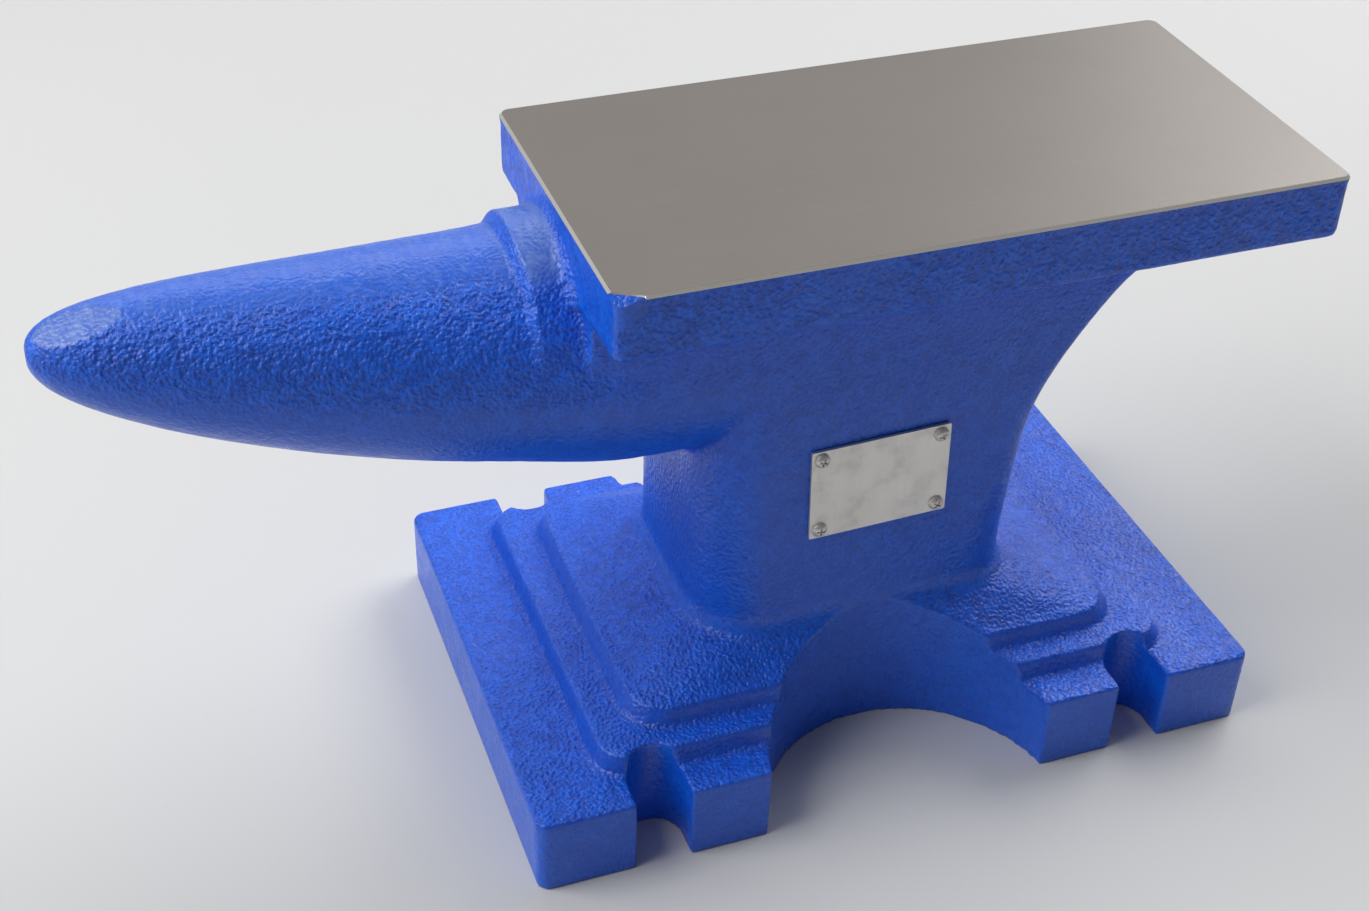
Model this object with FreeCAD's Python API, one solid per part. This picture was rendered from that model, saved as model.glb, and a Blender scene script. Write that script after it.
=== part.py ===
import FreeCAD, Part
import math
import os

os.makedirs("parts", exist_ok=True)

# Single-horn cast iron bench anvil.
# X runs along the anvil with the horn toward -X, Z is up.
# The origin is the centre of the underside of the base. All sizes in mm.

# base plate and its two raised terraces
base_length = 235.0
base_width = 153.0
base_height = 26.4
base_corner_radius = 4.0
base_edge_radius = 1.3
terrace_1_foot = (95.0, 64.2, 10.0)
terrace_1_top = (92.4, 62.6, 9.0)
terrace_1_height = 32.4
terrace_2_foot = (82.6, 55.0, 14.0)
terrace_2_top = (79.2, 52.8, 12.5)
terrace_2_height = 38.4
terrace_edge_radius = 1.0
terrace_foot_radius = 1.1
terrace_root_depth = 4.0

# sloping shoulder between the upper terrace and the waist
shoulder_top = (46.5, 35.0, 16.0)
shoulder_height = 48.2
shoulder_root_depth = 0.8
waist_foot_radius = 10.0
waist_foot_centre_z = 52.5
waist_foot_end_z = 43.8
waist_foot_section_count = 8
waist_foot_root_depth = 10.0

# round bites in the long edges of the base, with a little draft
bite_radius = 46.5
bite_top_radius = 45.2
bite_centre_y = 83.7

# open clamping slots
slot_width = 16.5
slot_centre_x = 79.0
slot_centre_y = 67.5
slot_mouth_length = 40.0

# the bites and slots are cut from below the base to above the shoulder
cutter_start_z = -1.0
cutter_height = 60.0

# waist and heel
waist_left = -53.0
waist_right = 51.0
waist_half_width = 38.0
waist_corner_radius = 19.0
heel_arc_radius = 80.0
heel_arc_centre_z = 92.0
heel_corner_radius = 5.0
heel_corner_start_z = 62.0
heel_corner_end_z = 132.0
waist_section_heights = (66.0, 79.0, 92.0, 105.0, 118.0, 131.0, 144.0, 156.0, 166.0)

# body between horn root and waist
body_end_half_width = 34.9
body_full_width_x = -66.0
body_overlap = 2.0

# face slab
face_left = -88.0
face_right = 130.0
face_half_width = 55.0
face_top = 184.0
face_thickness = 20.2
face_corner_radius = 3.5
face_lower_edge_radius = 2.5
face_bevel = 0.8
corner_facet = (8.0, 4.5, 3.2)
face_bottom = face_top - face_thickness

# horn: its radius grows with a power of the distance from the tip, and its axis eases
# from the tip's height down to the root's height, both in full at horn_full_distance
horn_tip_x = -229.0
horn_tip_axis_z = 161.6
horn_root_axis_z = 139.2
horn_root_radius = 37.7
horn_growth = 4.7
horn_growth_power = 0.41
horn_nose_distance = 0.2
horn_full_distance = 163.0
horn_end_distance = 200.0
horn_section_count = 11
horn_section_spacing_power = 2.5

# collar between horn and face, set slightly higher than the horn
collar_left = -104.5
collar_shoulder_x = -100.5
collar_foot_radius = 28.5
collar_radius = 33.8
collar_centre_z = 144.6
collar_end_radius = 5.0
collar_overlap = 20.0
collar_end_overlap = (1.0, 2.0)
collar_trim_size = 200.0

# nameplate and its four screws
plate_width = 44.0
plate_height = 31.6
plate_thickness = 1.0
plate_corner_radius = 0.6
plate_centre_x = -0.6
plate_centre_z = 95.8
plate_tilt = 1.7
screw_spacing_x = 37.6
screw_spacing_z = 25.4
plate_hole_diameter = 2.8
plate_hole_reach = 5.0
screw_hole_diameter = 2.5
screw_hole_depth = 7.0
screw_hole_start = -2.0
screw_shank_diameter = 2.4
screw_shank_length = 6.0
screw_head_diameter = 4.7
screw_head_rim = 0.45
screw_head_height = 1.5
screw_recess_width = 0.6
screw_recess_length = 2.6
screw_recess_depth = 0.7
screw_cutter_height = 3.0

# each screw's side, level and turn of its recess in degrees
screw_places = {
    "top_left": (-1, 1, 20),
    "top_right": (1, 1, 65),
    "bottom_left": (-1, -1, 5),
    "bottom_right": (1, -1, 38),
}

# how closely an edge has to match when it is looked up
edge_tolerance = 0.01
foot_tolerance = 0.1
shortest_vertical_edge = 1.0


def point(x, y, z):
    return FreeCAD.Vector(x, y, z)


def rounded_outline(x_min, x_max, y_half, left_radius, right_radius, z):
    corners = [
        (x_max - right_radius, y_half - right_radius, right_radius, 0),
        (x_min + left_radius, y_half - left_radius, left_radius, 90),
        (x_min + left_radius, left_radius - y_half, left_radius, 180),
        (x_max - right_radius, right_radius - y_half, right_radius, 270),
    ]
    arcs = []
    for cx, cy, radius, start in corners:
        ends = []
        for angle in (start, start + 45, start + 90):
            turn = math.radians(angle)
            ends.append(point(cx + radius * math.cos(turn), cy + radius * math.sin(turn), z))
        arcs.append(Part.Arc(ends[0], ends[1], ends[2]).toShape())
    edges = []
    for index in range(4):
        following = arcs[(index + 1) % 4]
        edges.append(arcs[index])
        edges.append(Part.makeLine(arcs[index].lastVertex().Point, following.firstVertex().Point))
    return Part.Wire(edges)


def plan(size, z):
    half_x, half_y, radius = size
    return rounded_outline(-half_x, half_x, half_y, radius, radius, z)


def edges_at_height(shape, z):
    found = []
    for edge in shape.Edges:
        box = edge.BoundBox
        if max(abs(box.ZMin - z), abs(box.ZMax - z)) < edge_tolerance:
            found.append(edge)
    return found


def vertical_edges(shape):
    found = []
    for edge in shape.Edges:
        box = edge.BoundBox
        upright = max(box.XLength, box.YLength) < edge_tolerance
        if upright and box.ZLength > shortest_vertical_edge:
            found.append(edge)
    return found


def base_plate():
    plate = Part.makeBox(
        base_length, base_width, base_height, point(-base_length / 2, -base_width / 2, 0))
    plate = plate.makeFillet(base_corner_radius, vertical_edges(plate))
    return plate.makeFillet(base_edge_radius, edges_at_height(plate, base_height))


def terrace(foot, top, foot_z, top_z):
    outlines = [plan(foot, foot_z - terrace_root_depth), plan(foot, foot_z), plan(top, top_z)]
    step = Part.makeLoft(outlines, True, True)
    return step.makeFillet(terrace_edge_radius, edges_at_height(step, top_z))


def shoulder():
    outlines = [
        plan(terrace_2_top, terrace_2_height - shoulder_root_depth),
        plan(shoulder_top, shoulder_height),
    ]
    return Part.makeLoft(outlines, True, True)


def heel_x(z):
    rise = z - heel_arc_centre_z
    if rise <= 0:
        return waist_right
    return waist_right + heel_arc_radius - math.sqrt(heel_arc_radius ** 2 - rise ** 2)


def waist():
    outlines = []
    for z in (waist_foot_centre_z,) + waist_section_heights:
        rise = (z - heel_corner_start_z) / (heel_corner_end_z - heel_corner_start_z)
        rise = max(0.0, min(1.0, rise))
        corner = waist_corner_radius + (heel_corner_radius - waist_corner_radius) * rise
        outlines.append(rounded_outline(
            waist_left, heel_x(z), waist_half_width, waist_corner_radius, corner, z))
    return Part.makeLoft(outlines, True, False)


def waist_foot():
    outlines = []
    for index in range(waist_foot_section_count + 1):
        drop = (waist_foot_centre_z - waist_foot_end_z) * index / waist_foot_section_count
        flare = waist_foot_radius - math.sqrt(waist_foot_radius ** 2 - drop ** 2)
        radius = waist_corner_radius + flare
        outlines.append(rounded_outline(
            waist_left - flare, waist_right + flare, waist_half_width + flare,
            radius, radius, waist_foot_centre_z - drop))
    flared = Part.makeLoft(outlines, True, False)
    below = Part.Face(outlines[-1]).extrude(point(0, 0, -waist_foot_root_depth))
    return flared.fuse(below)


def horn_section(distance):
    share = min(1.0, distance / horn_full_distance)
    radius = min(horn_root_radius, horn_growth * distance ** horn_growth_power)
    fall = (horn_tip_axis_z - horn_root_axis_z) * math.sin(math.radians(90) * share)
    centre = point(horn_tip_x + distance, 0, horn_tip_axis_z - fall)
    return Part.Wire([Part.makeCircle(radius, centre, point(1, 0, 0))])


def horn():
    distances = [horn_nose_distance]
    for index in range(1, horn_section_count + 1):
        share = (index / horn_section_count) ** horn_section_spacing_power
        distances.append(horn_full_distance * share)
    distances.append(horn_end_distance)
    sections = []
    for distance in distances:
        sections.append(horn_section(distance))
    return Part.makeLoft(sections, True, False)


def collar():
    axis = point(1, 0, 0)
    ring = Part.makeCylinder(
        collar_radius, face_left + collar_overlap - collar_shoulder_x,
        point(collar_shoulder_x, 0, collar_centre_z), axis)
    slope = Part.makeCone(
        collar_foot_radius, collar_radius, collar_shoulder_x - collar_left,
        point(collar_left, 0, collar_centre_z), axis)
    return ring.fuse(slope)


def collar_end_fillet():
    reach = collar_end_radius
    behind, beneath = collar_end_overlap
    low = point(face_left - reach, 0, collar_centre_z + collar_radius)
    high = point(face_left, 0, collar_centre_z + collar_radius + reach)
    bend = math.radians(45)
    middle = point(
        face_left - reach + reach * math.sin(bend), 0,
        collar_centre_z + collar_radius + reach - reach * math.cos(bend))
    back = point(face_left + behind, 0, high.z)
    inner = point(face_left + behind, 0, collar_centre_z + collar_radius - beneath)
    start = point(low.x, 0, inner.z)
    edges = [
        Part.Arc(low, middle, high).toShape(),
        Part.makeLine(high, back),
        Part.makeLine(back, inner),
        Part.makeLine(inner, start),
        Part.makeLine(start, low),
    ]
    profile = Part.Face(Part.Wire(edges))
    flare = profile.revolve(point(0, 0, collar_centre_z), point(1, 0, 0), 360)
    size = collar_trim_size
    below = Part.makeBox(
        size, size, size, point(-size, -size / 2, face_bottom + face_lower_edge_radius - size))
    return flare.cut(below)


def corner_cut():
    along, across, down = corner_facet
    corner = point(face_left, -face_half_width, face_top)
    tips = [
        corner,
        corner + point(along, 0, 0),
        corner + point(0, across, 0),
        corner + point(0, 0, -down),
    ]
    faces = []
    for first, second, third in ((0, 1, 2), (0, 1, 3), (0, 2, 3), (1, 2, 3)):
        faces.append(Part.Face(Part.makePolygon([tips[first], tips[second], tips[third], tips[first]])))
    return Part.Solid(Part.Shell(faces))


def face_slab():
    slab = Part.makeBox(
        face_right - face_left, 2 * face_half_width, face_thickness,
        point(face_left, -face_half_width, face_bottom))
    slab = slab.makeFillet(face_corner_radius, vertical_edges(slab))
    slab = slab.makeFillet(face_lower_edge_radius, edges_at_height(slab, face_bottom))
    slab = slab.makeChamfer(face_bevel, edges_at_height(slab, face_top))
    return slab.cut(corner_cut())


def body_section(x, half_width):
    z = horn_root_axis_z
    top_z = face_bottom + body_overlap
    low = Part.Arc(
        point(x, -half_width, z), point(x, 0, z - half_width), point(x, half_width, z)).toShape()
    right = Part.makeLine(point(x, half_width, z), point(x, half_width, top_z))
    top = Part.makeLine(point(x, half_width, top_z), point(x, -half_width, top_z))
    left = Part.makeLine(point(x, -half_width, top_z), point(x, -half_width, z))
    return Part.Wire([low, right, top, left])


def body_under_face():
    start = body_section(face_left, body_end_half_width)
    shoulder_section = body_section(body_full_width_x, waist_half_width)
    end = body_section(waist_left + waist_corner_radius, waist_half_width)
    tapered = Part.makeLoft([start, shoulder_section], True, True)
    straight = Part.makeLoft([shoulder_section, end], True, True)
    return tapered.fuse(straight)


def bites_and_slots():
    cutters = []
    for side in (-1, 1):
        bite = Part.makeCone(
            bite_radius, bite_top_radius, cutter_height,
            point(0, side * bite_centre_y, cutter_start_z))
        cutters.append(bite)
        for end in (-1, 1):
            centre = point(end * slot_centre_x, side * slot_centre_y, cutter_start_z)
            cutters.append(Part.makeCylinder(slot_width / 2, cutter_height, centre))
            near_y = centre.y + (side - 1) * slot_mouth_length / 2
            mouth = Part.makeBox(
                slot_width, slot_mouth_length, cutter_height,
                point(centre.x - slot_width / 2, near_y, cutter_start_z))
            cutters.append(mouth)
    return cutters


def on_plate(shape):
    placed = shape.copy()
    placed.rotate(point(0, 0, 0), point(0, 1, 0), -plate_tilt)
    placed.translate(point(plate_centre_x, -waist_half_width, plate_centre_z))
    return placed


def rod_at_screw(place, diameter, start, length):
    side, level = place[:2]
    corner = point(side * screw_spacing_x / 2, start, level * screw_spacing_z / 2)
    return Part.makeCylinder(diameter / 2, length, corner, point(0, 1, 0))


def nameplate():
    plate = Part.makeBox(
        plate_width, plate_thickness, plate_height,
        point(-plate_width / 2, -plate_thickness, -plate_height / 2))
    corners = []
    for edge in plate.Edges:
        if abs(edge.BoundBox.YLength - plate_thickness) < edge_tolerance:
            corners.append(edge)
    plate = plate.makeFillet(plate_corner_radius, corners)
    for place in screw_places.values():
        hole = rod_at_screw(place, plate_hole_diameter, -plate_hole_reach, 2 * plate_hole_reach)
        plate = plate.cut(hole)
    return on_plate(plate)


def screw(side, level, turn):
    shank = screw_shank_diameter / 2
    head = screw_head_diameter / 2
    half_way = math.radians(45)
    crown = screw_head_height - screw_head_rim
    outline = [
        Part.makeLine(point(0, screw_shank_length, 0), point(shank, screw_shank_length, 0)),
        Part.makeLine(point(shank, screw_shank_length, 0), point(shank, 0, 0)),
        Part.makeLine(point(shank, 0, 0), point(head, 0, 0)),
        Part.makeLine(point(head, 0, 0), point(head, -screw_head_rim, 0)),
        Part.Arc(
            point(head, -screw_head_rim, 0),
            point(head * math.cos(half_way), -screw_head_rim - crown * math.sin(half_way), 0),
            point(0, -screw_head_height, 0)).toShape(),
        Part.makeLine(point(0, -screw_head_height, 0), point(0, screw_shank_length, 0)),
    ]
    profile = Part.Face(Part.Wire(outline))
    solid = profile.revolve(point(0, 0, 0), point(0, 1, 0), 360)
    for angle in (0, 90):
        slot = Part.makeBox(
            screw_recess_length, screw_cutter_height, screw_recess_width,
            point(-screw_recess_length / 2,
                  screw_recess_depth - screw_head_height - screw_cutter_height,
                  -screw_recess_width / 2))
        slot.rotate(point(0, 0, 0), point(0, 1, 0), angle + turn)
        solid = solid.cut(slot)
    solid.translate(point(
        side * screw_spacing_x / 2, -plate_thickness, level * screw_spacing_z / 2))
    return on_plate(solid)


def foot_edges(shape, size, z):
    half_x, half_y, radius = size
    found = []
    for edge in edges_at_height(shape, z):
        box = edge.BoundBox
        far_x = max(-box.XMin, box.XMax)
        far_y = max(-box.YMin, box.YMax)
        inside_x = far_x < half_x + foot_tolerance
        inside_y = far_y < half_y + foot_tolerance
        near_x = far_x > half_x - radius - foot_tolerance
        near_y = far_y > half_y - foot_tolerance
        if inside_x and inside_y and (near_x or near_y):
            found.append(edge)
    return found


body = base_plate()
body = body.fuse(terrace(terrace_1_foot, terrace_1_top, base_height, terrace_1_height))
body = body.fuse(terrace(terrace_2_foot, terrace_2_top, terrace_1_height, terrace_2_height))
body = body.fuse(shoulder())
body = body.fuse(waist_foot())
body = body.removeSplitter()
for cutter in bites_and_slots():
    body = body.cut(cutter)
for block in (waist(), body_under_face(), face_slab(), horn(), collar(), collar_end_fillet()):
    body = body.fuse(block)
for place in screw_places.values():
    hole = rod_at_screw(
        place, screw_hole_diameter, screw_hole_start, screw_hole_depth - screw_hole_start)
    body = body.cut(on_plate(hole))
casting = body.removeSplitter()
feet = foot_edges(casting, terrace_1_foot, base_height)
feet += foot_edges(casting, terrace_2_foot, terrace_1_height)
casting = casting.makeFillet(terrace_foot_radius, feet)
print("casting", casting.isValid(), len(casting.Solids), "edges", len(feet),
      round(casting.Volume / 1000.0, 1), "cm3")
casting.exportStep("parts/casting.step")

plate = nameplate()
print("plate", plate.isValid(), len(plate.Solids), plate.Volume)
plate.exportStep("parts/nameplate.step")
for name, place in screw_places.items():
    fixing = screw(*place)
    print(name, fixing.isValid(), len(fixing.Solids), fixing.Volume)
    fixing.exportStep("parts/nameplate_screw_" + name + ".step")
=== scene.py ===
import math
from itertools import product

import bmesh
import bpy
import numpy as np
from mathutils import Matrix, Vector


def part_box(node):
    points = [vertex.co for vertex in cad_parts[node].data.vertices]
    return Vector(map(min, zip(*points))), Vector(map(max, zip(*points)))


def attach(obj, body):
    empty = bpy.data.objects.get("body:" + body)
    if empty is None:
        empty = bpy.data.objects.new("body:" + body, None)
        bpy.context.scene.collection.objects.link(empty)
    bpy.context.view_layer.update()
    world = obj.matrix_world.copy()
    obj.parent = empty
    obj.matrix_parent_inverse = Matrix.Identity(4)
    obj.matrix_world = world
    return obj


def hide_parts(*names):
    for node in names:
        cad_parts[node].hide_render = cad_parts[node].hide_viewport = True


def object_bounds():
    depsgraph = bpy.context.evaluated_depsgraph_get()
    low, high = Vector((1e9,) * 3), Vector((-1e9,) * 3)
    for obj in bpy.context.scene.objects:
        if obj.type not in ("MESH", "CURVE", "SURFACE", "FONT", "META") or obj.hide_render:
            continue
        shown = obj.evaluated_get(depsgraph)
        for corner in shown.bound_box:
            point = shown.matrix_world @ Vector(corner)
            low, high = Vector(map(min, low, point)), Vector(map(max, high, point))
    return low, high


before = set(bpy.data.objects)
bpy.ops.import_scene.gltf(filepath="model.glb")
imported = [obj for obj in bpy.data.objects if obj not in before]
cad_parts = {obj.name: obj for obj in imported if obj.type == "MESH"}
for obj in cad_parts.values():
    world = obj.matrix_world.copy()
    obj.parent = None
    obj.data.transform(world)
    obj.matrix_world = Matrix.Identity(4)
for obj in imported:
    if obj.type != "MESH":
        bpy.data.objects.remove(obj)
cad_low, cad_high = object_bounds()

MM = 0.001
GRID = 1.0 * MM

# sizes that part.py gives the casting; the facet's are along the anvil, across it and down
SLAB_CORNER_RADIUS = 3.5 * MM
SLAB_BEVEL = 0.8 * MM
SLAB_THICKNESS = 20.2 * MM
WAIST_HALF_WIDTH = 38.0 * MM
FACET = (8.0 * MM, 4.5 * MM, 3.2 * MM)

# where one part of the casting turns into the next, from start to end
FOOT_TO_WAIST_Z = (50 * MM, 64 * MM)
TERRACES_TO_SHOULDER_Z = (36 * MM, 44 * MM)
UNDER_HORN_Z = (80 * MM, 95 * MM)
BODY_TO_HORN = (60 * MM, 92 * MM)
HORN_TO_COLLAR_X = (-108 * MM, -98 * MM)

# plugs that fill the casting's screw holes, and the lid that squares the slab's top edge
PLUG_RADIUS = 1.9 * MM
PLUG_DEPTH = 11 * MM
PLUG_SIDES = 16
LID_DEPTH = 8 * MM

# the flat that was ground on the horn's tip before it was painted
TIP_FLAT_NORMAL = (-0.25, -0.25, 0.93)
TIP_FLAT_REACH = 30 * MM
TIP_FLAT_DEPTH = 1.4 * MM

# how coarse the sand-cast skin is, from 0 to 1
BODY_GRAIN = 0.4
SLAB_GRAIN = 0.8
TIP_FLAT_GRAIN = 0.12

# for the noise that shapes the skin
NOISE_TABLE_SIZE = 8192
HASH_PRIMES = (73856093, 19349663, 83492791)

# rounds of averaging that tell a hollow from a flat place
HOLLOW_ROUNDS = 12

# what counts as lying on the slab's top, and how far round its corner the facet's cut is looked for
LEVEL_TOLERANCE = 0.004 * MM
FACET_REGION = 20 * MM

# the camera's place in metres, its angles in degrees and its lens in millimetres
CAMERA = {"place": (-0.2199, -0.4559, 0.4498), "azimuth": 20.73, "elevation": 36.54,
          "roll": 1.65, "lens": 52.60}

# each light's name, place and two sides in metres, and power in watts
LIGHTS = (
    ("key", (-1.1, 0.14, 1.2), (1.2, 1.2), 22.5),
    ("right", (1.1, 0.5, 1.2), (1.0, 1.0), 15),
    ("high_back", (0.35, 1.85, 1.75), (2.6, 0.9), 9.5),
    ("back", (0.6, 2.2, 1.1), (3.0, 1.2), 8),
    ("back_right", (1.85, 1.7, 1.1), (1.1, 0.8), 5),
)
LIGHT_TARGET = (0, 0, 0.1)
STUDIO_COLOUR = (0.95, 0.97, 1.0, 1)
STUDIO_STRENGTH = 0.11

# half the floor's side in metres
FLOOR_HALF = 12

scene = bpy.context.scene
casting_low, casting_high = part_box("casting")
TOP = casting_high.z


# ---------------------------------------------------------------- mesh tools

def new_piece(name, mesh):
    """A new object in the scene with that mesh."""
    piece = bpy.data.objects.new(name, mesh)
    scene.collection.objects.link(piece)
    return piece


def coordinates(mesh):
    """The mesh's vertices as an array."""
    flat = np.empty(len(mesh.vertices) * 3, np.float32)
    mesh.vertices.foreach_get("co", flat)
    return flat.reshape(-1, 3).astype(float)


def vertex_normals(mesh):
    """The mesh's vertex normals as an array."""
    flat = np.empty(len(mesh.vertices) * 3, np.float32)
    mesh.vertex_normals.foreach_get("vector", flat)
    return flat.reshape(-1, 3).astype(float)


def edge_pairs(mesh):
    """The mesh's edges as pairs of vertex numbers."""
    flat = np.empty(len(mesh.edges) * 2, np.int32)
    mesh.edges.foreach_get("vertices", flat)
    return flat.reshape(-1, 2)


def set_coordinates(mesh, points):
    """Moves the mesh's vertices to those points."""
    mesh.vertices.foreach_set("co", points.astype(np.float32).ravel())
    mesh.update()


def neighbour_mean(values, pairs, count):
    """The mean of each vertex's neighbours."""
    ends = np.concatenate([pairs[:, 0], pairs[:, 1]])
    others = np.concatenate([pairs[:, 1], pairs[:, 0]])
    number = np.bincount(ends, minlength=count)
    total = [np.bincount(ends, weights=column[others], minlength=count) for column in values.T]
    return np.stack(total, 1) / np.maximum(number, 1)[:, None]


def smooth_step(values, low, high):
    """0 below low, 1 above high, and a smooth rise between them."""
    t = np.clip((values - low) / (high - low), 0, 1)
    return t * t * (3 - 2 * t)


def toward(start, end, share):
    """The value at that share of the way from start to end."""
    return start + (end - start) * share


def lattice_noise(points, size, seed):
    """Smooth noise from -1 to 1 with lumps about as wide as size."""
    table = np.random.default_rng(seed).uniform(-1, 1, NOISE_TABLE_SIZE)
    cells = points / size
    low = np.floor(cells).astype(np.int64)
    part = cells - low
    part = part * part * (3 - 2 * part)
    total = np.zeros(len(points))
    for corner in product((0, 1), repeat=3):
        hashed = (low + np.array(corner)) * HASH_PRIMES
        index = (hashed[:, 0] ^ hashed[:, 1] ^ hashed[:, 2]) % NOISE_TABLE_SIZE
        total += table[index] * np.prod(np.where(corner, part, 1 - part), axis=1)
    return total


# ------------------------------------------------------- the casting's mesh

def rounded_outline(low, high, radius, steps=8):
    """Points round a rectangle with rounded corners, from its low and high corners."""
    points = []
    middle_x, middle_y = (low[0] + high[0]) / 2, (low[1] + high[1]) / 2
    corners = ((high[0], high[1], 0), (low[0], high[1], 90), (low[0], low[1], 180), (high[0], low[1], 270))
    for x, y, start in corners:
        centre_x = x - math.copysign(radius, x - middle_x)
        centre_y = y - math.copysign(radius, y - middle_y)
        for step in range(steps + 1):
            angle = math.radians(start + 90 * step / steps)
            points.append((centre_x + radius * math.cos(angle), centre_y + radius * math.sin(angle)))
    return points


def add_prism(form, outline, low, high, turn=Matrix.Identity(4)):
    """Adds a closed prism with that outline to the form, from height low to high, and then turned."""
    rings = [[form.verts.new(turn @ Vector((x, y, z))) for x, y in outline] for z in (low, high)]
    form.faces.new(reversed(rings[0]))
    form.faces.new(rings[1])
    for i in range(len(outline)):
        j = (i + 1) % len(outline)
        form.faces.new((rings[0][i], rings[0][j], rings[1][j], rings[1][i]))


def slab_outline_box(points):
    """Low and high corner of the face slab's outline, from the flat top inside the bevel."""
    top = points[points[:, 2] > TOP - 0.01 * MM]
    return top[:, :2].min(0) - SLAB_BEVEL, top[:, :2].max(0) + SLAB_BEVEL


def inside_outline(points, low, high, radius):
    """How far each point is inside the rounded rectangle, and the direction out of it."""
    centre, half = (low + high) / 2, (high - low) / 2
    side = np.sign(points[:, :2] - centre)
    q = np.abs(points[:, :2] - centre) - (half - radius)
    outside = np.maximum(q, 0)
    length = np.linalg.norm(outside, axis=1)
    distance = radius - length - np.minimum(q.max(1), 0)
    tiny = 1e-9
    from_corner = outside / np.maximum(length, tiny)[:, None]
    from_side = q >= q.max(1)[:, None]
    out = np.where(length[:, None] > tiny, from_corner, from_side)
    return distance, out * side


def casting_mesh():
    """The CAD casting on an even grid, its screw holes filled and its slab's top edges sharp.
    Also gives the low and high corner of the slab's outline."""
    form = bmesh.new()
    form.from_mesh(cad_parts["casting"].data)
    bmesh.ops.remove_doubles(form, verts=form.verts, dist=0.002 * MM)
    low, high = slab_outline_box(np.array([v.co for v in form.verts]))
    add_prism(form, rounded_outline(low, high, SLAB_CORNER_RADIUS), TOP - LID_DEPTH, TOP)
    angles = [2 * math.pi * side / PLUG_SIDES for side in range(PLUG_SIDES)]
    plug = [(PLUG_RADIUS * math.cos(a), PLUG_RADIUS * math.sin(a)) for a in angles]
    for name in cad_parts:
        if "screw" in name:
            screw_low, screw_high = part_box(name)
            middle = (screw_low + screw_high) / 2
            turn = Matrix.Translation((middle.x, 0, middle.z)) @ Matrix.Rotation(math.radians(90), 4, "X")
            add_prism(form, plug, WAIST_HALF_WIDTH - PLUG_DEPTH, WAIST_HALF_WIDTH, turn)
    source = bpy.data.meshes.new("casting_source")
    form.to_mesh(source)
    form.free()
    piece = new_piece("casting_source", source)
    grid = piece.modifiers.new("grid", "REMESH")
    grid.mode = "VOXEL"
    grid.voxel_size = GRID
    made = bpy.data.meshes.new_from_object(piece.evaluated_get(bpy.context.evaluated_depsgraph_get()))
    bpy.data.objects.remove(piece)
    return made, low, high


def round_off(points, pairs, held):
    """Softens the sharp corners of the grid; the flat parts and the held points stay where they are."""
    count = len(points)
    pull = neighbour_mean(points, pairs, count) - points
    sharp = smooth_step(np.linalg.norm(pull, axis=1) / GRID, 0.12, 0.3)[:, None]
    for _ in range(2):
        sharp = np.maximum(sharp, neighbour_mean(sharp, pairs, count) * 1.3)
    share = np.clip(sharp, 0, 1) * np.where(held, 0, 1)[:, None] * 0.5
    for _ in range(2):
        points = toward(points, neighbour_mean(points, pairs, count), share)
    return points


def grain_and_sheen(points, normals, corner):
    """How coarse the sand-cast skin is, smoother on the rubbed top of the horn, and how strongly a sheen is
    painted on that rubbed top, both from 0 to 1.
    The skin is smoother round the slab's corner at which the facet is cut."""
    x, y, z = points.T
    up = normals[:, 2]
    slab_bottom = TOP - SLAB_THICKNESS
    slab = smooth_step(z, slab_bottom - 1 * MM, slab_bottom + 1 * MM)
    slab = np.where(x > corner.x - 1 * MM, slab, 0)
    slab_end = slab * smooth_step(-normals[:, 0], 0.6, 0.9)
    horn = smooth_step(-x, *BODY_TO_HORN) * smooth_step(z, *UNDER_HORN_Z) * (1 - slab)
    foot = 1 - smooth_step(z, *FOOT_TO_WAIST_Z)
    collar = smooth_step(x, *HORN_TO_COLLAR_X)
    # the up-facing band of the horn and collar: its skin is smoother, and it carries the painted sheen
    rubbed_and_sheen = smooth_step(up + 0.1 * collar, 0.8, 0.97)

    foot_grain = toward(0.2, 1, smooth_step(up, 0.35, 0.85))
    horn_grain = toward(0.25, 1, smooth_step(up, -0.15, 0.15) * (1 - rubbed_and_sheen))
    slab_end_grain = toward(0.35, 0.85, smooth_step(y, 0 * MM, 30 * MM))
    grain = np.full(len(points), BODY_GRAIN)
    grain = toward(grain, foot_grain, foot)
    grain = toward(grain, horn_grain, horn)
    grain = toward(grain, SLAB_GRAIN, slab)
    grain = toward(grain, slab_end_grain, slab_end)
    from_corner = np.linalg.norm(points - np.array(corner), axis=1)
    grain *= toward(0.15, 1, smooth_step(from_corner, 6 * MM, 12 * MM))
    patches = lattice_noise(points, 24 * MM, 3) * 0.22 + lattice_noise(points, 9 * MM, 4) * 0.14
    grain = np.clip(grain * (1 + patches), 0, 1)
    # painted sheen: lighter, greyer colour on the up-facing band of the horn and collar
    painted_sheen = rubbed_and_sheen * horn * toward(0.45, 1, collar)
    return grain, painted_sheen


def painted_hollow_shade(points, normals, pairs):
    """How strongly painted shade darkens the hollows and the terraces' slopes, from 0 to 1."""
    mean = points
    for _ in range(HOLLOW_ROUNDS):
        mean = neighbour_mean(mean, pairs, len(points))
    hollow_depth = ((mean - points) * normals).sum(1)
    hollow = smooth_step(hollow_depth, 0.2 * MM, 0.7 * MM)
    up = normals[:, 2]
    # painted shade on the terraces' slopes
    slope = smooth_step(up, 0.1, 0.3) * (1 - smooth_step(up, 0.62, 0.82))
    slope *= 1 - smooth_step(points[:, 2], *TERRACES_TO_SHOULDER_Z)
    return np.maximum(hollow, 0.75 * slope)


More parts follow.
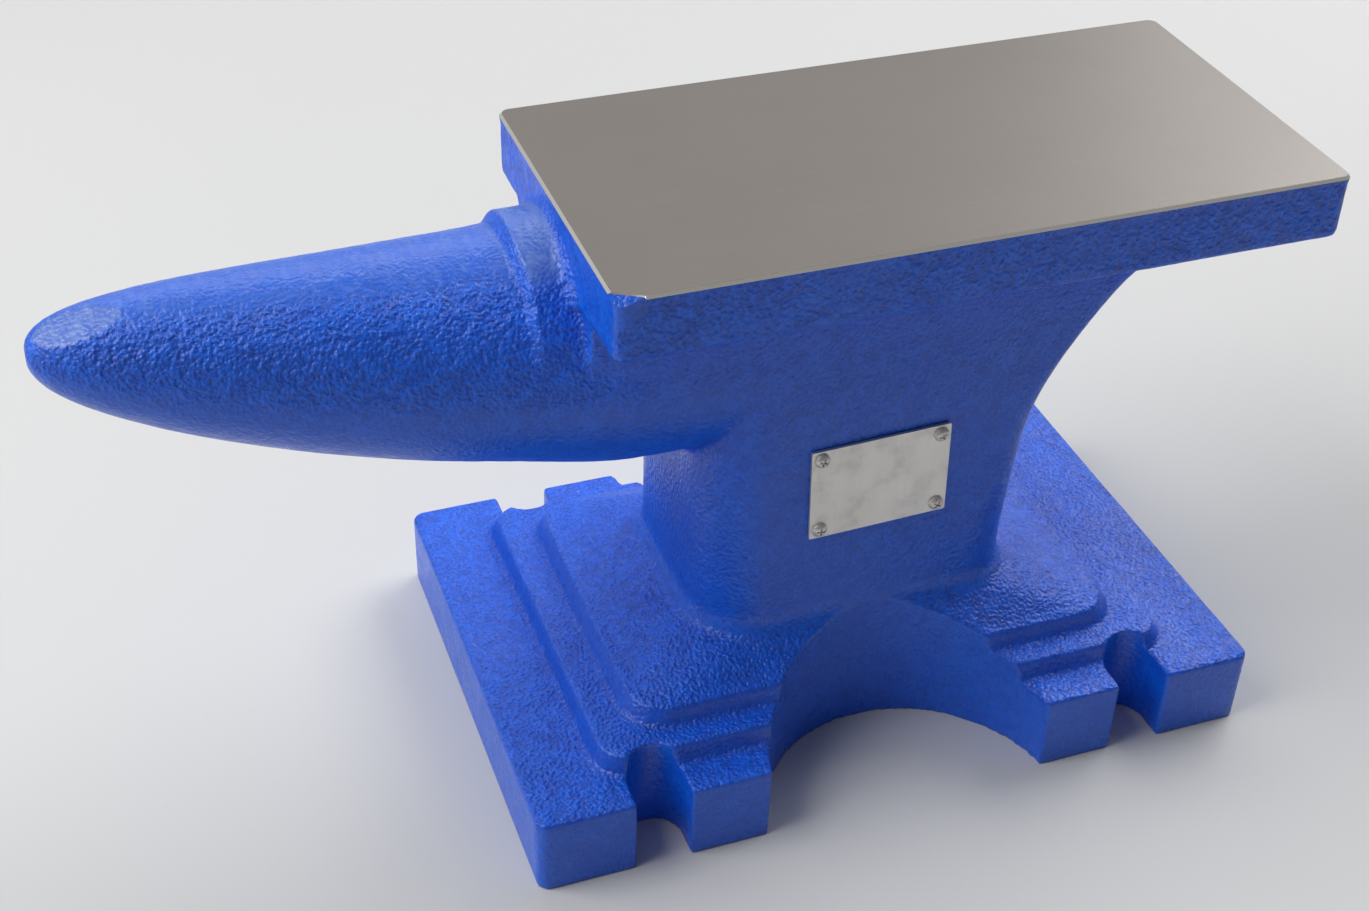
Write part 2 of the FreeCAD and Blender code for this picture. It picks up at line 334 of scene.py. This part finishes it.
def grind_tip(points):
    """Grinds a small flat on top of the horn's tip; also tells which points lie on it."""
    normal = np.array(TIP_FLAT_NORMAL) / np.linalg.norm(TIP_FLAT_NORMAL)
    height = points @ normal
    near = points[:, 0] < casting_low.x + TIP_FLAT_REACH
    over = np.where(near, np.maximum(height - height[near].max() + TIP_FLAT_DEPTH, 0), 0)
    return points - normal * over[:, None], over > 0


def straighten_rim(points, below, low, high):
    """Puts the slab's top rim, its flat top and its sides near the rim exactly where the outline is.
    Also tells which points lie on the top and its rim, and which on those sides."""
    inside, out = inside_outline(points, low, high, SLAB_CORNER_RADIUS)
    rim_reach = 0.55 * GRID
    rim = (below < rim_reach) & (inside < rim_reach)
    flat_top = ~rim & (below < 0.02 * MM)
    side = ~rim & ~flat_top & (below < 3 * GRID) & (inside < 0.15 * GRID)
    points[rim | side, :2] += (out * inside[:, None])[rim | side]
    points[rim | flat_top, 2] = TOP
    return rim | flat_top, side


def cast_relief(points, grain):
    """How far the sand-cast skin stands out at each point, and its lumps alone."""
    lumps = (lattice_noise(points, 2.2 * MM, 11) * 0.6 + lattice_noise(points, 3.4 * MM, 12) * 0.4
             + lattice_noise(points, 7 * MM, 13) * 0.3)
    waves = lattice_noise(points, 16 * MM, 14) * 0.5 + lattice_noise(points, 38 * MM, 15) * 0.5
    lump_height = toward(0.05, 0.12, smooth_step(points[:, 2], *FOOT_TO_WAIST_Z))
    return grain * (lump_height * lumps - 0.1) * MM + (0.16 * waves - 0.16) * MM, lumps


def make_casting():
    """The painted casting with its ground face. Also gives the slab's corner at which the facet is cut."""
    mesh, low, high = casting_mesh()
    corner = Vector((low[0], low[1], TOP))
    points = coordinates(mesh)
    pairs = edge_pairs(mesh)
    below = TOP - points[:, 2]
    top, side = straighten_rim(points, below, low, high)
    points = round_off(points, pairs, top | side)
    set_coordinates(mesh, points)

    normals = vertex_normals(mesh)
    points, ground_tip = grind_tip(points)
    grain, painted_sheen = grain_and_sheen(points, normals, corner)
    grain[ground_tip] = TIP_FLAT_GRAIN
    # the tip's flat gets the full painted sheen
    painted_sheen[ground_tip] = 1
    # painted shade for the hollows and the terraces' slopes
    hollow_shade = painted_hollow_shade(points, normals, pairs)
    relief, lumps = cast_relief(points, grain)
    relief *= smooth_step(below, 0.6 * MM, 3 * MM) * smooth_step(points[:, 2], 0, 2 * MM)
    relief[top] = 0
    points = points + normals * relief[:, None]
    points = np.clip(points, np.array(casting_low), np.array(casting_high))
    set_coordinates(mesh, points)
    lump = np.clip(0.5 + 0.5 * lumps, 0, 1)
    for name, values in (("grain", grain), ("painted_sheen", painted_sheen), ("lump", lump), ("hollow_shade", hollow_shade)):
        attribute = mesh.attributes.new(name, "FLOAT", "POINT")
        attribute.data.foreach_set("value", values.astype(np.float32))

    form = bmesh.new()
    form.from_mesh(mesh)
    finish_ground_face(form, corner)
    for face in form.faces:
        face.smooth = True
    form.to_mesh(mesh)
    form.free()
    return new_piece("anvil_casting", mesh), corner


def finish_ground_face(form, corner):
    """Joins the flat top into one face, cuts the small facet at that corner and bevels the top's edge."""
    top_faces = [f for f in form.faces if all(v.co.z > TOP - LEVEL_TOLERANCE for v in f.verts)]
    ground = bmesh.ops.dissolve_faces(form, faces=top_faces)["region"][0]
    a = corner + Vector((FACET[0], 0, 0))
    b = corner + Vector((0, FACET[1], 0))
    c = corner - Vector((0, 0, FACET[2]))
    outward = (b - a).cross(c - a).normalized()
    if outward.z < 0:
        outward.negate()
    near = [f for f in form.faces if f == ground or (f.calc_center_median() - corner).length < FACET_REGION]
    region = set(near)
    region.update(e for f in near for e in f.edges)
    region.update(v for f in near for v in f.verts)
    cut = bmesh.ops.bisect_plane(form, geom=list(region), plane_co=a, plane_no=outward,
                                 clear_outer=True, dist=1e-7)
    rim = [e for e in cut["geom_cut"] if isinstance(e, bmesh.types.BMEdge) and e.is_boundary]
    facet = bmesh.ops.contextual_create(form, geom=rim)["faces"][0]
    facet.normal_update()
    level = [f for f in form.faces if abs(f.normal.z) > 0.9 and f.calc_center_median().z > TOP - 0.1 * MM]
    ground = max(level, key=lambda f: f.calc_area())
    facet_verts = set(facet.verts)
    rim_verts = [v for v in ground.verts if v not in facet_verts]
    rim_edges = set(ground.edges) | set(facet.edges)
    ring = bmesh.ops.inset_individual(form, faces=[ground], thickness=SLAB_BEVEL,
                                      use_even_offset=True)["faces"]
    for vert in rim_verts:
        vert.co.z -= SLAB_BEVEL
    for face in ring + [ground]:
        face.material_index = 1
    for edge in rim_edges | set(ground.edges):
        edge.smooth = False


# ----------------------------------------------------------------- materials

class Shader:
    """A material's node tree, with short calls to build it."""

    def __init__(self, name):
        self.material = bpy.data.materials.new(name)
        self.material.use_nodes = True
        self.tree = self.material.node_tree
        self.tree.nodes.clear()
        self.out = self.add("ShaderNodeOutputMaterial")
        self.place = self.add("ShaderNodeTexCoord").outputs["Object"]

    def add(self, kind, inputs=None, **settings):
        made = self.tree.nodes.new(kind)
        for key, value in settings.items():
            setattr(made, key, value)
        for key, value in (inputs or {}).items():
            if isinstance(value, bpy.types.NodeSocket):
                self.tree.links.new(value, made.inputs[key])
            else:
                made.inputs[key].default_value = value
        return made

    def attribute(self, name):
        return self.add("ShaderNodeAttribute", attribute_name=name).outputs["Fac"]

    def scaled(self, scale):
        """The place multiplied by that scale along each axis."""
        return self.add("ShaderNodeVectorMath", {0: self.place, 1: scale}, operation="MULTIPLY").outputs[0]

    def noise(self, size, detail=2.0, roughness=0.5, distortion=0.0, place=None):
        """Noise with grains about as wide as size."""
        inputs = {"Vector": place or self.place, "Scale": 1 / size, "Detail": detail,
                  "Roughness": roughness, "Distortion": distortion}
        return self.add("ShaderNodeTexNoise", inputs).outputs["Fac"]

    def times(self, a, b):
        return self.add("ShaderNodeMath", {0: a, 1: b}, operation="MULTIPLY").outputs[0]

    def blend_sum(self, a, a_share, b, b_share):
        """a and b added in those shares."""
        inputs = {0: a, 1: a_share, 2: self.times(b, b_share)}
        return self.add("ShaderNodeMath", inputs, operation="MULTIPLY_ADD").outputs[0]

    def ramp(self, value, low, high, to_low=0.0, to_high=1.0, smooth=True):
        """to_low where the value is below low, to_high where it is above high, and a rise between them."""
        inputs = {"Value": value, "From Min": low, "From Max": high, "To Min": to_low, "To Max": to_high}
        kind = "SMOOTHSTEP" if smooth else "LINEAR"
        return self.add("ShaderNodeMapRange", inputs, interpolation_type=kind, clamp=True).outputs["Result"]

    def mix(self, share, a, b):
        """Colour a with that share of colour b. A Mix node's colours are its inputs 6 and 7 and output 2."""
        made = self.add("ShaderNodeMix", {"Factor": share}, data_type="RGBA")
        for socket, value in ((made.inputs[6], a), (made.inputs[7], b)):
            if isinstance(value, bpy.types.NodeSocket):
                self.tree.links.new(value, socket)
            else:
                socket.default_value = (*value, 1)
        return made.outputs[2]

    def bump(self, height, strength, distance, under=None):
        """The normal bent by that height, over another bump if one is given."""
        inputs = {"Height": height, "Strength": strength, "Distance": distance}
        if under:
            inputs["Normal"] = under
        return self.add("ShaderNodeBump", inputs).outputs["Normal"]

    def principled(self, **inputs):
        """Finishes the material with that surface."""
        named = {key.replace("_", " "): value for key, value in inputs.items()}
        surface = self.add("ShaderNodeBsdfPrincipled", named)
        self.tree.links.new(surface.outputs[0], self.out.inputs["Surface"])
        return self.material

    def height(self):
        """The height above the floor."""
        return self.add("ShaderNodeSeparateXYZ", {0: self.place}).outputs["Z"]


def blue_paint(corner):
    """Semi-gloss blue enamel over a sand casting, worn to bare iron along the slab's top edge,
    except round the corner at which the facet is cut. Painted shade darkens the skin's pits, the hollows
    and the terraces' slopes, and a painted sheen lightens the rubbed top of the horn and collar."""
    s = Shader("blue_paint")
    grain = s.attribute("grain")
    lump = s.attribute("lump")
    peel = s.noise(1.15 * MM, detail=0.5, roughness=0.4)
    coarse = s.noise(2.4 * MM, detail=0.0)
    pit = s.noise(0.8 * MM, detail=1.0)
    cloud = s.noise(28 * MM, detail=3.0)
    mottle = s.noise(6 * MM, detail=3.0, roughness=0.6)
    # painted shade on the skin: its low places and pits darker and its crests lighter, more so where the
    # skin is coarse
    relief_for_shade = s.blend_sum(lump, 0.4, peel, 0.6)
    coarseness = s.ramp(grain, 0.1, 0.9)
    pit_shade = s.mix(coarseness, (0.005, 0.094, 0.64), (0.004, 0.080, 0.56))
    crests = s.mix(coarseness, (0.005, 0.126, 0.76), (0.005, 0.136, 0.84))
    colour = s.mix(s.ramp(relief_for_shade, 0.32, 0.66), pit_shade, crests)
    colour = s.mix(s.ramp(cloud, 0.35, 0.7, 0.0, 0.3), colour, (0.006, 0.105, 0.70))
    colour = s.mix(s.ramp(mottle, 0.55, 0.75, 0.0, 0.2), colour, (0.012, 0.085, 0.52))
    # painted shade in the finest pits of the skin
    fine_pit_shade = s.times(s.ramp(pit, 0.54, 0.70), s.ramp(grain, 0.0, 1.0, 0.25, 0.6, smooth=False))
    colour = s.mix(fine_pit_shade, colour, (0.003, 0.045, 0.36))
    # painted shade: the hollows and the terraces' slopes are made darker
    colour = s.mix(s.times(s.attribute("hollow_shade"), 0.6), colour, (0.003, 0.056, 0.49))
    # painted sheen: the rubbed top of the horn and collar made lighter and greyer, with faint strokes
    strokes = s.noise(1.0, detail=3.0, roughness=0.6, distortion=0.4, place=s.scaled((420, 90, 420)))
    rubbed_and_sheen = s.mix(s.ramp(strokes, 0.4, 0.68), (0.066, 0.156, 0.560), (0.130, 0.230, 0.600))
    colour = s.mix(s.times(s.attribute("painted_sheen"), 0.9), colour, rubbed_and_sheen)
    smear = s.ramp(s.noise(5 * MM, detail=3.0), 0.3, 0.7, 0.22, 0.32)
    roughness = s.blend_sum(grain, 0.2, smear, 1.0)
    edge = s.blend_sum(s.noise(1.6 * MM, detail=3.0), 1.2 * MM, s.height(), 1.0)
    distance = s.add("ShaderNodeVectorMath", {0: s.place, 1: corner}, operation="DISTANCE")
    from_corner = s.ramp(distance.outputs["Value"], 7.5 * MM, 9.5 * MM)
    worn = s.times(s.ramp(edge, TOP - 0.08 * MM, TOP + 0.1 * MM), from_corner)
    colour = s.mix(worn, colour, (0.62, 0.60, 0.55))
    coarse_height = s.times(coarse, s.ramp(s.height(), *FOOT_TO_WAIST_Z, 0.2, 0.7))
    height = s.blend_sum(pit, -0.5, s.blend_sum(coarse_height, 1.0, peel, 1.0), 1.0)
    strength = s.ramp(grain, 0.0, 1.0, 0.15, 1.0, smooth=False)
    normal = s.bump(height, strength, 0.7 * MM)
    return s.principled(Base_Color=colour, Roughness=roughness, Metallic=worn, Normal=normal, IOR=1.56)


def ground_iron():
    """The ground work face: bare grey iron with fine lines along the anvil and a brighter edge, bare iron on
    the bevel that is lightened as a painted highlight.
    """
    s = Shader("ground_iron")
    lines = s.noise(1.0, detail=4.0, roughness=0.6, place=s.scaled((25, 1800, 1800)))
    fine = s.noise(1.0, detail=3.0, roughness=0.6, place=s.scaled((60, 5000, 5000)))
    stain = s.noise(30 * MM, detail=4.0, roughness=0.6)
    colour = s.mix(s.ramp(lines, 0.3, 0.7), (0.150, 0.133, 0.120), (0.165, 0.146, 0.131))
    colour = s.mix(s.ramp(stain, 0.4, 0.7, 0.0, 0.35), colour, (0.142, 0.125, 0.111))
    # painted highlight: the bevel round the top gets a far lighter colour than the flat top
    flat = s.ramp(s.height(), TOP - 0.03 * MM, TOP - 0.005 * MM)
    colour = s.mix(flat, (0.68, 0.66, 0.61), colour)
    roughness = s.ramp(lines, 0.3, 0.7, 0.31, 0.35)
    normal = s.bump(fine, 0.05, 0.05 * MM, s.bump(lines, 0.04, 0.1 * MM))
    return s.principled(Base_Color=colour, Roughness=roughness, Metallic=0.5, Normal=normal)


def plate_metal():
    """Thin satin nameplate, blank, with faint marks."""
    s = Shader("plate_metal")
    lines = s.noise(1.0, detail=4.0, place=s.scaled((900, 900, 60)))
    stain = s.noise(7 * MM, detail=4.0, roughness=0.6)
    colour = s.mix(s.ramp(lines, 0.3, 0.7), (0.755, 0.73, 0.675), (0.775, 0.75, 0.70))
    colour = s.mix(s.ramp(stain, 0.5, 0.72, 0.0, 0.3), colour, (0.50, 0.48, 0.45))
    roughness = s.ramp(stain, 0.3, 0.7, 0.34, 0.46)
    normal = s.bump(stain, 0.08, 0.2 * MM, s.bump(lines, 0.03, 0.05 * MM))
    return s.principled(Base_Color=colour, Roughness=roughness, Metallic=0.75, Normal=normal)


def screw_metal():
    """Dull plated steel with a little rust."""
    s = Shader("screw_metal")
    spots = s.noise(0.9 * MM, detail=4.0, roughness=0.7)
    colour = s.mix(s.ramp(spots, 0.5, 0.7), (0.80, 0.77, 0.72), (0.42, 0.35, 0.28))
    roughness = s.ramp(spots, 0.4, 0.7, 0.35, 0.6)
    normal = s.bump(spots, 0.15, 0.1 * MM)
    return s.principled(Base_Color=colour, Roughness=roughness, Metallic=0.6, Normal=normal)


# -------------------------------------------------------------------- pieces

casting, facet_corner = make_casting()
for material in (blue_paint(facet_corner), ground_iron()):
    casting.data.materials.append(material)
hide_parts("casting")
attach(casting, "root")

plate_look, screw_look = plate_metal(), screw_metal()
for name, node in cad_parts.items():
    if name == "casting":
        continue
    node.data.materials.clear()
    node.data.materials.append(plate_look if name == "nameplate" else screw_look)


# --------------------------------------------------- floor, light and camera

def floor_paint():
    """Plain pale matt floor."""
    s = Shader("floor_paint")
    colour = s.mix(s.noise(0.4, detail=2.0), (0.62, 0.62, 0.615), (0.65, 0.65, 0.645))
    return s.principled(Base_Color=colour, Roughness=0.9)


def add_floor():
    """A wide floor under the anvil."""
    form = bmesh.new()
    bmesh.ops.create_grid(form, x_segments=8, y_segments=8, size=FLOOR_HALF)
    mesh = bpy.data.meshes.new("floor")
    form.to_mesh(mesh)
    form.free()
    floor = new_piece("floor", mesh)
    floor.location.z = cad_low.z
    floor.data.materials.append(floor_paint())


def add_light(name, place, size, power):
    """A soft rectangular light at place that faces the anvil."""
    data = bpy.data.lights.new(name, "AREA")
    data.shape = "RECTANGLE"
    data.size, data.size_y = size
    data.energy = power
    light = bpy.data.objects.new(name, data)
    scene.collection.objects.link(light)
    light.location = place
    light.visible_camera = False
    light.rotation_mode = "QUATERNION"
    light.rotation_quaternion = (Vector(LIGHT_TARGET) - Vector(place)).to_track_quat("-Z", "Y")


def add_camera(place, azimuth, elevation, roll, lens):
    """A camera that looks along the azimuth, measured from +Y towards +X, and down by the elevation."""
    a, e, r = (math.radians(v) for v in (azimuth, elevation, roll))
    forward = Vector((math.sin(a) * math.cos(e), math.cos(a) * math.cos(e), -math.sin(e)))
    right = Vector((math.cos(a), -math.sin(a), 0))
    up = right.cross(forward)
    right, up = right * math.cos(r) + up * math.sin(r), up * math.cos(r) - right * math.sin(r)
    data = bpy.data.cameras.new("camera")
    data.lens = lens
    data.clip_start, data.clip_end = 0.01, 100
    camera = bpy.data.objects.new("camera", data)
    scene.collection.objects.link(camera)
    camera.matrix_world = Matrix.Translation(place) @ Matrix((right, up, -forward)).transposed().to_4x4()
    scene.camera = camera


def set_world():
    """Dim, even light from all round."""
    world = bpy.data.worlds.new("studio")
    world.use_nodes = True
    background = world.node_tree.nodes["Background"]
    background.inputs["Color"].default_value = STUDIO_COLOUR
    background.inputs["Strength"].default_value = STUDIO_STRENGTH
    scene.world = world


add_floor()
add_camera(**CAMERA)
for name, place, size, power in LIGHTS:
    add_light(name, place, size, power)
set_world()
scene.view_settings.view_transform = "Standard"
scene.view_settings.look = "None"
